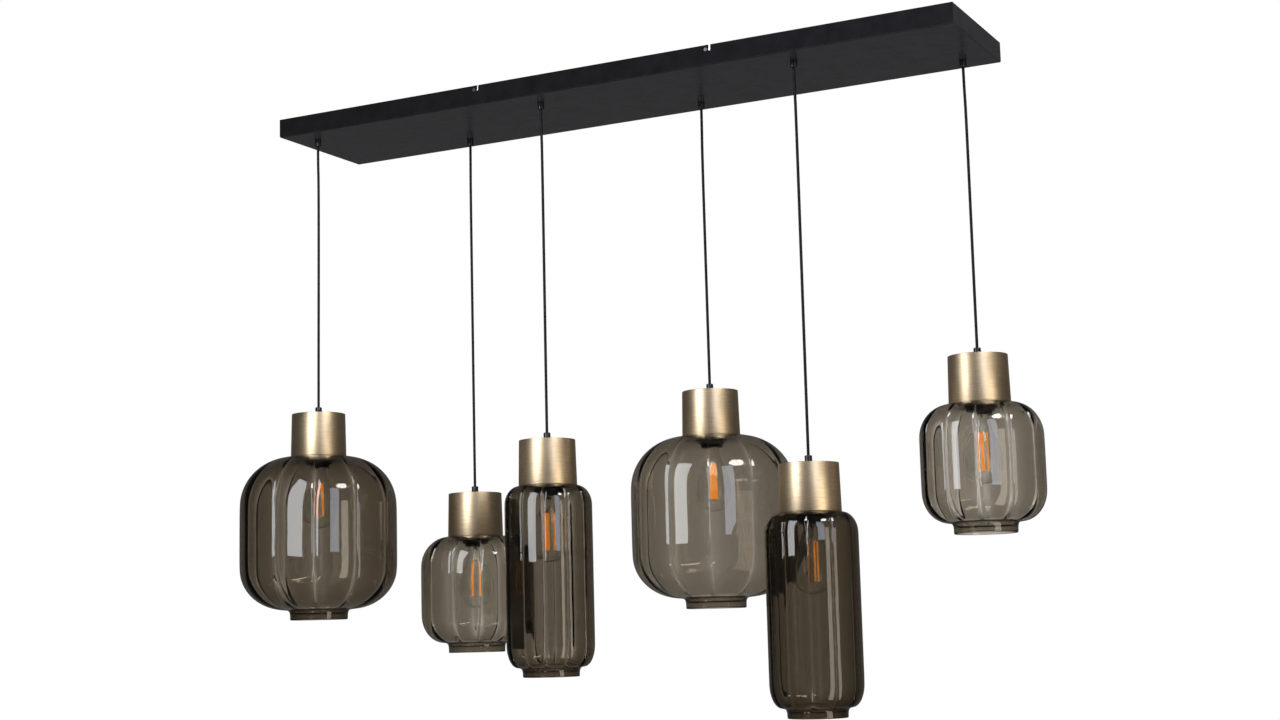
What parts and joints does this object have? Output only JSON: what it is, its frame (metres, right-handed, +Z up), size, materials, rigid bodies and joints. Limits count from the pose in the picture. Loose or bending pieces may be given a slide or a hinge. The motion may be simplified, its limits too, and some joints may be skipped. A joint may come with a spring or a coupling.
{
  "type": "cluster pendant",
  "caption": "Long flat black ceiling plate carrying cord-hung pendants of lobed smoked glass under brushed brass caps, each with a clear filament bulb.",
  "frame": {"origin": "centre of the bracket screw pattern, on the ceiling plane", "axes": "+X along the ceiling plate, -Y towards the row of pendants nearer the viewer, +Z up into the ceiling"},
  "size_m": [1.4411, 0.4325, 1.1003],
  "materials": {
    "black_steel": "satin powder coat",
    "zinc_steel": "zinc plated",
    "black_plastic": "satin black",
    "block_plastic": "white nylon",
    "cord_sheath": "black sheath",
    "brass": "brushed antique brass",
    "smoked_glass": "smoke tinted, polished",
    "clear_glass": "clear",
    "bulb_metal": "plated screw base",
    "filament": "amber light sticks on a clear stem"
  },
  "bodies": {
    "canopy": {"ceiling_plate": "black_steel", "ceiling_brackets": "zinc_steel", "side_screws": "zinc_steel", "canopy_cord_grips": "black_plastic", "terminal_block": "block_plastic", "cord_tails": "cord_sheath"},
    "pendant_1": {"cord_1": "cord_sheath", "cord_grip_1": "black_plastic", "cap_1": "brass", "lampholder_1": "black_plastic", "shade_ring_1": "black_plastic", "shade_1": "smoked_glass"},
    "bulb_1": {"bulb_base_1": "bulb_metal", "bulb_glass_1": "clear_glass", "bulb_filament_1": "filament"},
    "pendant_2": {"cord_2": "cord_sheath", "cord_grip_2": "black_plastic", "cap_2": "brass", "lampholder_2": "black_plastic", "shade_ring_2": "black_plastic", "shade_2": "smoked_glass"},
    "bulb_2": {"bulb_base_2": "bulb_metal", "bulb_glass_2": "clear_glass", "bulb_filament_2": "filament"},
    "pendant_3": {"cord_3": "cord_sheath", "cord_grip_3": "black_plastic", "cap_3": "brass", "lampholder_3": "black_plastic", "shade_ring_3": "black_plastic", "shade_3": "smoked_glass"},
    "bulb_3": {"bulb_base_3": "bulb_metal", "bulb_glass_3": "clear_glass", "bulb_filament_3": "filament"},
    "pendant_4": {"cord_4": "cord_sheath", "cord_grip_4": "black_plastic", "cap_4": "brass", "lampholder_4": "black_plastic", "shade_ring_4": "black_plastic", "shade_4": "smoked_glass"},
    "bulb_4": {"bulb_base_4": "bulb_metal", "bulb_glass_4": "clear_glass", "bulb_filament_4": "filament"},
    "pendant_5": {"cord_5": "cord_sheath", "cord_grip_5": "black_plastic", "cap_5": "brass", "lampholder_5": "black_plastic", "shade_ring_5": "black_plastic", "shade_5": "smoked_glass"},
    "bulb_5": {"bulb_base_5": "bulb_metal", "bulb_glass_5": "clear_glass", "bulb_filament_5": "filament"},
    "pendant_6": {"cord_6": "cord_sheath", "cord_grip_6": "black_plastic", "cap_6": "brass", "lampholder_6": "black_plastic", "shade_ring_6": "black_plastic", "shade_6": "smoked_glass"},
    "bulb_6": {"bulb_base_6": "bulb_metal", "bulb_glass_6": "clear_glass", "bulb_filament_6": "filament"}
  },
  "joints": [
    {"name": "swing_1", "type": "hinge", "parent": "canopy", "child": "pendant_1", "pos_m": [-0.6, -0.075, -0.048], "axis": [1, 0, 0], "range_deg": [-8, 8]},
    {"name": "swing_2", "type": "hinge", "parent": "canopy", "child": "pendant_2", "pos_m": [-0.36, 0.075, -0.048], "axis": [1, 0, 0], "range_deg": [-8, 8]},
    {"name": "swing_3", "type": "hinge", "parent": "canopy", "child": "pendant_3", "pos_m": [-0.12, -0.075, -0.048], "axis": [1, 0, 0], "range_deg": [-8, 8]},
    {"name": "swing_4", "type": "hinge", "parent": "canopy", "child": "pendant_4", "pos_m": [0.12, 0.075, -0.048], "axis": [1, 0, 0], "range_deg": [-8, 8]},
    {"name": "swing_5", "type": "hinge", "parent": "canopy", "child": "pendant_5", "pos_m": [0.36, -0.075, -0.048], "axis": [1, 0, 0], "range_deg": [-8, 8]},
    {"name": "swing_6", "type": "hinge", "parent": "canopy", "child": "pendant_6", "pos_m": [0.6, 0.075, -0.048], "axis": [1, 0, 0], "range_deg": [-8, 8]},
    {"name": "bulb_out_1", "type": "slide", "parent": "pendant_1", "child": "bulb_1", "axis": [0, 0, -1], "range_m": [0, 0.03]},
    {"name": "bulb_out_2", "type": "slide", "parent": "pendant_2", "child": "bulb_2", "axis": [0, 0, -1], "range_m": [0, 0.03]},
    {"name": "bulb_out_3", "type": "slide", "parent": "pendant_3", "child": "bulb_3", "axis": [0, 0, -1], "range_m": [0, 0.03]},
    {"name": "bulb_out_4", "type": "slide", "parent": "pendant_4", "child": "bulb_4", "axis": [0, 0, -1], "range_m": [0, 0.03]},
    {"name": "bulb_out_5", "type": "slide", "parent": "pendant_5", "child": "bulb_5", "axis": [0, 0, -1], "range_m": [0, 0.03]},
    {"name": "bulb_out_6", "type": "slide", "parent": "pendant_6", "child": "bulb_6", "axis": [0, 0, -1], "range_m": [0, 0.03]}
  ]
}
